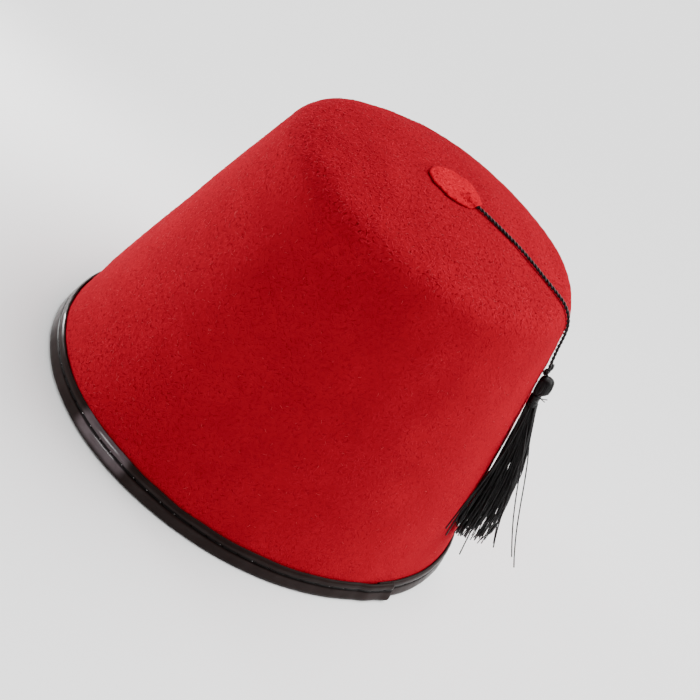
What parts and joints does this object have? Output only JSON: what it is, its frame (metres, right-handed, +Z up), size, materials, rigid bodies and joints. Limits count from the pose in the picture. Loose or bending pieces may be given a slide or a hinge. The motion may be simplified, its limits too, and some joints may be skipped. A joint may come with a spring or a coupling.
{
  "type": "fez hat",
  "caption": "Felt fez with a tapering round crown, domed top, lapped glossy rim binding, felt top button and a black cord with a tassel; worn on the head and standing on its rim.",
  "frame": {"origin": "middle of the rim's oval, on the surface that the hat stands on", "axes": "+Z up through the crown, -Y is the front, +Y the back and the rim's longest way, +X the wearer's left; the tassel hangs between the left side and the back"},
  "size_m": [0.1822, 0.195, 0.1397],
  "materials": {
    "red_felt": "matt pressed felt with short loose fibres",
    "button_felt": "matt felt, a little brighter and fuzzier than the crown",
    "black_tape": "glossy soft vinyl binding tape, stitched",
    "black_cord": "shiny twisted rayon cord",
    "knot_cord": "the same cord, knotted",
    "tassel_thread": "shiny loose rayon threads",
    "winding_thread": "fine shiny thread wound tight"
  },
  "bodies": {
    "root": {"crown": "red_felt", "rim_binding": "black_tape", "top_button": "button_felt", "tassel_cord": "black_cord", "tassel_knot": "knot_cord", "tassel": "tassel_thread", "tassel_neck_winding": "winding_thread"}
  },
  "joints": []
}
